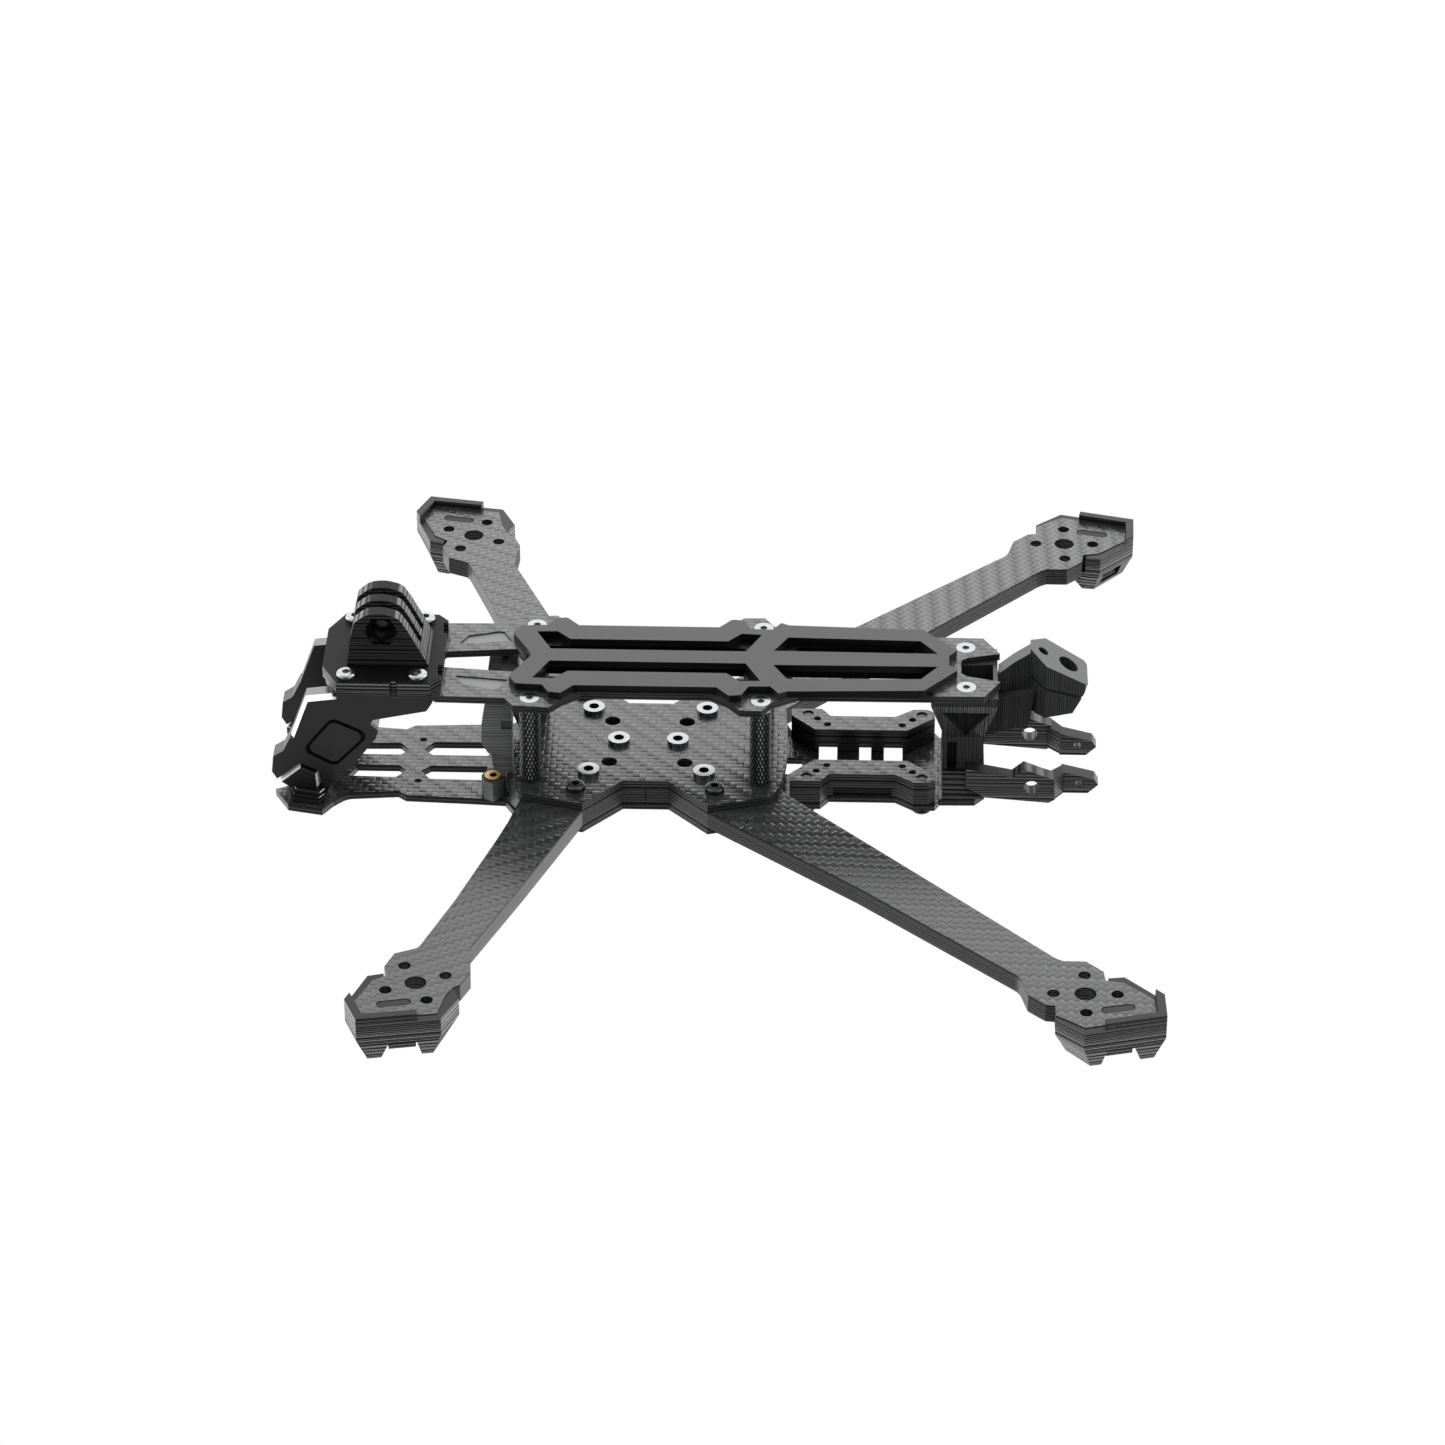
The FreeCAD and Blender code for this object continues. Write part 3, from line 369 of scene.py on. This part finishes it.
CARBON_PLATE = carbon("carbon_plate", 0.016, 0.09 * MM)
CARBON_TOP = carbon("carbon_top_plate", 0.016, 0.09 * MM, under_pad=True)
CARBON_ARM = carbon("carbon_arm", 0.017, 0.1 * MM, arms=True)
PRINT_Z = printed("printed_black", 0.007, LAYER)
PRINT_GUARD = printed("printed_guard", 0.002, LAYER, gloss=0.85, between=0.12)
PRINT_Y = printed("printed_black_upright", 0.017, 0.55 * MM, axis="y", gloss=0.4,
                  level_layers=0.7)
PRINT_CAMERA = printed("printed_camera_mount", 0.007, LAYER, level_layers=0.04, bored=True)
PRINT_GREY = printed("printed_grey", 0.05, 0.5 * MM)
PAD = plain("grey_pad", 0.003, 0.3, 0.004 * MM, 0.12 * MM, gloss=0.33)
INLAY = plain("grey_inlay", 0.11, 0.5, 0.004 * MM, 0.2 * MM)
NOSE = painted_highlight_edges("dark_anodised", 0.12, 0.8)
NOSE_FOOT = painted_highlight_edges("dark_anodised_wedge", 0.12, 0.8, wedge=True)
KNURL = knurled("black_anodised", 0.003, 0.18)
STEEL = plain("bright_steel", 0.26, 0.15, 0.001 * MM, 0.1 * MM, metal=1.0)
BLACK_STEEL = plain("black_steel", 0.05, 0.25, 0.002 * MM, 0.1 * MM, metal=1.0)
BRASS = plain("brass", None, 0.25, 0.002 * MM, 0.1 * MM, metal=1.0, colour=(0.42, 0.28, 0.1, 1.0))


# ---- the CAD nodes get their finish ------------------------------------------------------
def ease_edges(piece, width, segments):
    ease = piece.modifiers.new("ease", "BEVEL")
    ease.width = width
    ease.segments = segments
    ease.limit_method = "ANGLE"
    ease.angle_limit = EASE_ANGLE


def finish_node(name, material, bevel):
    """Gives a CAD node its material and eases its sharp edges; its own mesh stays as it is."""
    piece = NODES[name]
    piece.data.materials.clear()
    piece.data.materials.append(material)
    if bevel:
        flat = piece.modifiers.new("flat", "DECIMATE")
        flat.decimate_type = "DISSOLVE"
        flat.angle_limit = math.radians(0.5)
        ease_edges(piece, bevel, 2)


FINISHES = (
    # node, material, width of the eased edges in millimetres
    ("bottom_plate", CARBON_PLATE, 0.18),
    ("middle_plate", CARBON_PLATE, 0.2),
    ("top_plate", CARBON_TOP, 0.2),
    ("top_plate_inlays", INLAY, 0.0),
    ("action_camera_mount", PRINT_CAMERA, 0.2),
    ("camera_mount_screws", STEEL, 0.1),
    ("front_cross_member", PRINT_GREY, 0.15),
    ("tail_antenna_mount", PRINT_Y, 0.15),
    ("tail_fork", PRINT_Z, 0.15),
    ("stack_press_nuts", STEEL, 0.1),
    ("arm_clamp_screws", BLACK_STEEL, 0.1),
    ("top_plate_screws", STEEL, 0.05),
    ("standoff_screws", BLACK_STEEL, 0.1),
    ("rail_screws", BLACK_STEEL, 0.1),
    ("tail_screws", BLACK_STEEL, 0.1),
)
SIDE_FINISHES = (
    ("front_arm", CARBON_ARM, 0.2),
    ("rear_arm", CARBON_ARM, 0.2),
    ("front_arm_guard", PRINT_GUARD, 0.15),
    ("rear_arm_guard", PRINT_GUARD, 0.15),
    ("rear_rail", CARBON_PLATE, 0.15),
    ("nose_plate", NOSE, 0.12),
    ("nose_foot", NOSE_FOOT, 0.1),
    ("front_bracket", PRINT_GREY, 0.15),
    ("bracket_insert", BRASS, 0.0),
)
for name, material, width in FINISHES:
    finish_node(name, material, width * MM)
for side in SIDES:
    for name, material, width in SIDE_FINISHES:
        finish_node(side + name, material, width * MM)


# ---- pieces made here --------------------------------------------------------------------
def new_piece(name, bm, material, node):
    """A piece from the bmesh that rides on the one body and stands in for one CAD node."""
    bmesh.ops.recalc_face_normals(bm, faces=bm.faces)
    mesh = bpy.data.meshes.new(name)
    bm.to_mesh(mesh)
    bm.free()
    piece = bpy.data.objects.new(name, mesh)
    bpy.context.scene.collection.objects.link(piece)
    mesh.materials.append(material)
    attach(piece, "root")
    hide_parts(node)
    return piece


def ring_of_points(bm, centre, radii, z):
    """One closed ring, with one point for each radius."""
    count = len(radii)
    points = []
    for i, r in enumerate(radii):
        a = 2 * math.pi * i / count
        points.append(bm.verts.new((centre[0] + r * math.cos(a), centre[1] + r * math.sin(a), z)))
    return points


def bridge(bm, a, b):
    """Faces between two rings."""
    count = len(a)
    for i in range(count):
        j = (i + 1) % count
        bm.faces.new((a[i], a[j], b[j], b[i]))


def knurled_standoff(node):
    """Round standoff with a diamond knurl cut between two plain collars."""
    low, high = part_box(node)
    centre = ((low.x + high.x) / 2, (low.y + high.y) / 2)
    radius = (high.x - low.x) / 2
    bore, chamfer = 1.5 * MM, 0.3 * MM
    teeth, pitch, depth, collar = 18, 2.4 * MM, 0.35 * MM, 0.5 * MM
    around, rows = 8 * teeth, 120
    bm = bmesh.new()
    z0, z1 = low.z, high.z
    rings = [ring_of_points(bm, centre, [bore] * around, z0),
             ring_of_points(bm, centre, [radius - chamfer] * around, z0),
             ring_of_points(bm, centre, [radius] * around, z0 + chamfer),
             ring_of_points(bm, centre, [radius] * around, z0 + collar)]
    for k in range(rows + 1):
        z = z0 + collar + (z1 - z0 - 2 * collar) * k / rows
        radii = []
        for i in range(around):
            turn = teeth * i / around
            rise = (z - z0) / pitch
            cuts = [abs((turn + s * rise) % 1.0 - 0.5) * 2 for s in (1, -1)]
            radii.append(radius - depth * (1 - min(cuts)))
        rings.append(ring_of_points(bm, centre, radii, z))
    rings += [ring_of_points(bm, centre, [radius] * around, z1 - collar),
              ring_of_points(bm, centre, [radius] * around, z1 - chamfer),
              ring_of_points(bm, centre, [radius - chamfer] * around, z1),
              ring_of_points(bm, centre, [bore] * around, z1)]
    for a, b in zip(rings, rings[1:] + rings[:1]):
        bridge(bm, a, b)
    new_piece(node + "_knurled", bm, KNURL, node)


def soft_pad():
    """Battery pad: the slotted sheet with eased, slightly swollen edges."""
    bm = bmesh.new()
    bm.from_mesh(NODES["battery_pad"].data)
    bmesh.ops.remove_doubles(bm, verts=bm.verts, dist=1e-6)
    bmesh.ops.dissolve_limit(bm, angle_limit=math.radians(1), verts=bm.verts, edges=bm.edges)
    pad = new_piece("battery_pad_soft", bm, PAD, "battery_pad")
    ease_edges(pad, 0.35 * MM, 3)


for side in SIDES:
    knurled_standoff(side + "front_standoff")
    knurled_standoff(side + "rear_standoff")
soft_pad()


# ---- floor, light and camera -------------------------------------------------------------
def white_stage(name, mesh):
    """Plain pale surround that the camera sees, and that casts no light or shadow of its own."""
    surround = bpy.data.objects.new(name, mesh)
    bpy.context.scene.collection.objects.link(surround)
    material = bpy.data.materials.new(name)
    t = Tree(material)
    glow = t.new("Emission", {"Color": (1, 1, 1, 1), "Strength": 1.0})
    t.tree.links.new(glow.outputs[0], t.new("OutputMaterial").inputs[0])
    mesh.materials.append(material)
    for kind in ("diffuse", "glossy", "transmission", "volume_scatter", "shadow"):
        setattr(surround, "visible_" + kind, False)


def floor_mesh(z, size):
    mesh = bpy.data.meshes.new("floor")
    mesh.from_pydata([(-size, -size, z), (size, -size, z), (size, size, z), (-size, size, z)],
                     [], [(0, 1, 2, 3)])
    return mesh


def dome_mesh(radius):
    mesh = bpy.data.meshes.new("backdrop")
    bm = bmesh.new()
    bmesh.ops.create_uvsphere(bm, u_segments=48, v_segments=24, radius=radius)
    bm.to_mesh(mesh)
    bm.free()
    return mesh


def studio_light():
    """Soft light from behind, above and both sides, and little from the front and below.

    The side light is weaker where it overlaps the light from behind.
    """
    world = bpy.data.worlds.new("studio")
    bpy.context.scene.world = world
    t = Tree(world)
    x, y, z = t.new("SeparateXYZ", {0: t.new("TexCoord").outputs["Generated"]}).outputs
    back = t.math("MULTIPLY", t.step(x, 0.1, -0.55), t.step(z, -0.25, 0.2))
    back = t.math("MULTIPLY", back, t.step(z, 0.5, 0.62, 1.0, 0.62))
    across = t.math("ABSOLUTE", y)
    back = t.math("MULTIPLY", back, t.step(across, 0.35, 0.65, 1.0, 0.2))
    sides = t.step(across, 0.3, 0.72)
    reach = t.mix(t.step(z, -0.2, -0.45), t.step(x, 0.3, -0.3, 0.35, 1.0),
                  t.step(x, -0.1, -0.5, 0.1, 1.05))
    sides = t.math("MULTIPLY", sides, reach)
    overlap = t.step(x, -0.3, -0.6, 1.0, 0.45)
    sides = t.math("MULTIPLY", sides, t.mix(t.step(z, -0.05, 0.15), 1.0, overlap))
    top = t.step(z, 0.6, 0.95)
    under = t.step(z, -0.65, -0.93)
    front = t.math("MULTIPLY", t.step(x, 0.2, 0.7), t.step(z, 0.0, 0.4))
    level = 0.1
    for part, strength in ((back, 3.1), (sides, 3.6), (top, 1.4), (under, 2.4), (front, 0.5)):
        level = t.math("MULTIPLY_ADD", part, strength, level)
    glow = t.new("Background", {"Color": (1, 1, 1, 1), "Strength": level})
    t.tree.links.new(glow.outputs[0], t.new("OutputWorld").inputs[0])


def camera():
    """Looks down on the left side of the airframe, as in the picture that it is built to match."""
    data = bpy.data.cameras.new("camera")
    data.sensor_width, data.lens = 36.0, 135.44
    data.clip_start, data.clip_end = 0.05, 60.0
    right, up = Vector((-0.02842, 0.99960, 0.00014)), Vector((-0.54140, -0.01551, 0.84062))
    back = right.cross(up)
    eye = bpy.data.objects.new("camera", data)
    turn = Matrix((right, up, back)).transposed().to_4x4()
    eye.matrix_world = Matrix.Translation((1.214410, 0.054142, 0.789228)) @ turn
    bpy.context.scene.collection.objects.link(eye)
    bpy.context.scene.camera = eye


white_stage("floor", floor_mesh(CAD_BOX[0][2] - 0.1 * MM, STAGE_REACH))
white_stage("backdrop", dome_mesh(STAGE_REACH))
studio_light()
camera()
bpy.context.scene.view_settings.view_transform = "Standard"
